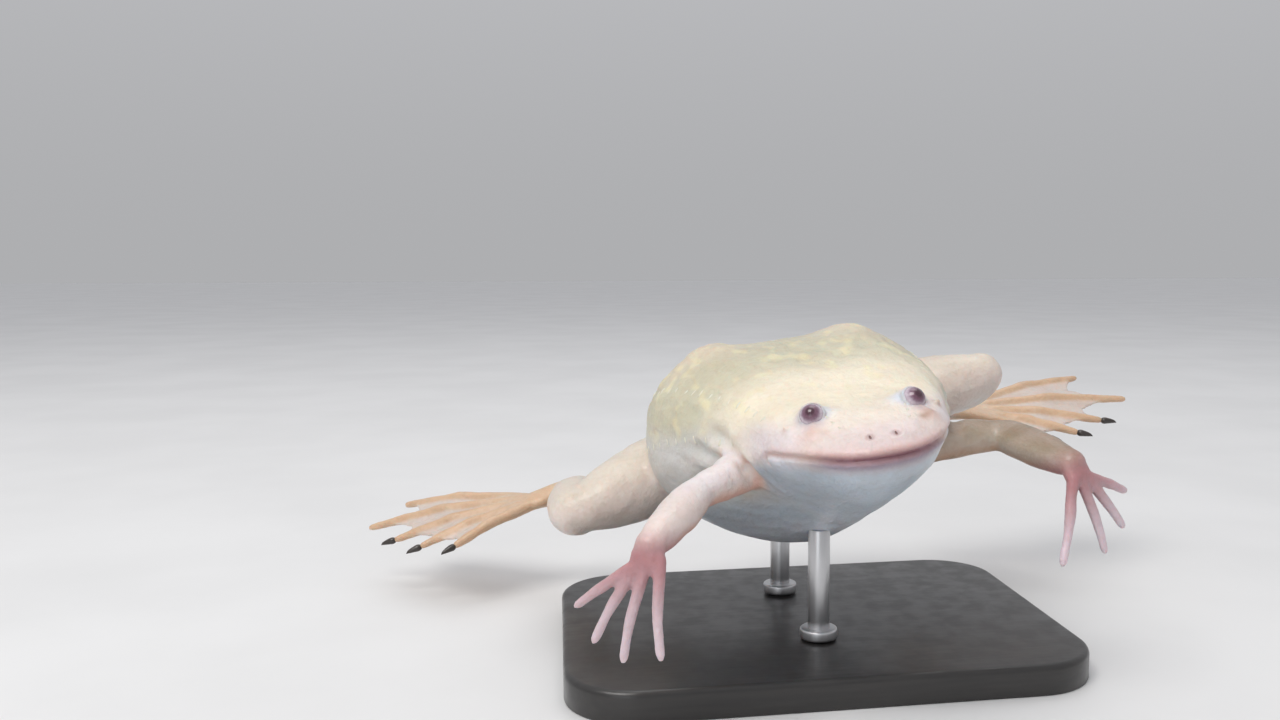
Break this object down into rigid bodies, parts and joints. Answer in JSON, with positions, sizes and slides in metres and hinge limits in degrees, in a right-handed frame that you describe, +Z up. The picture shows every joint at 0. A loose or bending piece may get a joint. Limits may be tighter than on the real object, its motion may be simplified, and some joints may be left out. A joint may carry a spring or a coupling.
{
  "type": "african clawed frog model",
  "caption": "Life-size pale African clawed frog, swimming with hanging hands and spread webbed feet, held over a flat stand by short rods.",
  "frame": {"origin": "centre of the stand base's underside", "axes": "the frog faces -Y, its left side is towards +X, +Z is up"},
  "size_m": [0.197, 0.1326, 0.0684],
  "materials": {
    "skin": "smooth wet skin, cream with faint olive-yellow marks",
    "eye": "wet dark maroon",
    "horn": "black horn",
    "stand_board": "satin black",
    "stand_steel": "satin"
  },
  "bodies": {
    "root": {"head": "skin", "torso": "skin", "upper_arm_left": "skin", "forearm_left": "skin", "hand_left": "skin", "thigh_left": "skin", "shank_left": "skin", "foot_left": "skin", "upper_arm_right": "skin", "forearm_right": "skin", "hand_right": "skin", "thigh_right": "skin", "shank_right": "skin", "foot_right": "skin", "eye_left": "eye", "eye_right": "eye", "claw_left_1": "horn", "claw_left_2": "horn", "claw_left_3": "horn", "claw_right_1": "horn", "claw_right_2": "horn", "claw_right_3": "horn", "stand_base": "stand_board", "stand_rod_front": "stand_steel", "stand_rod_rear": "stand_steel"}
  },
  "joints": []
}
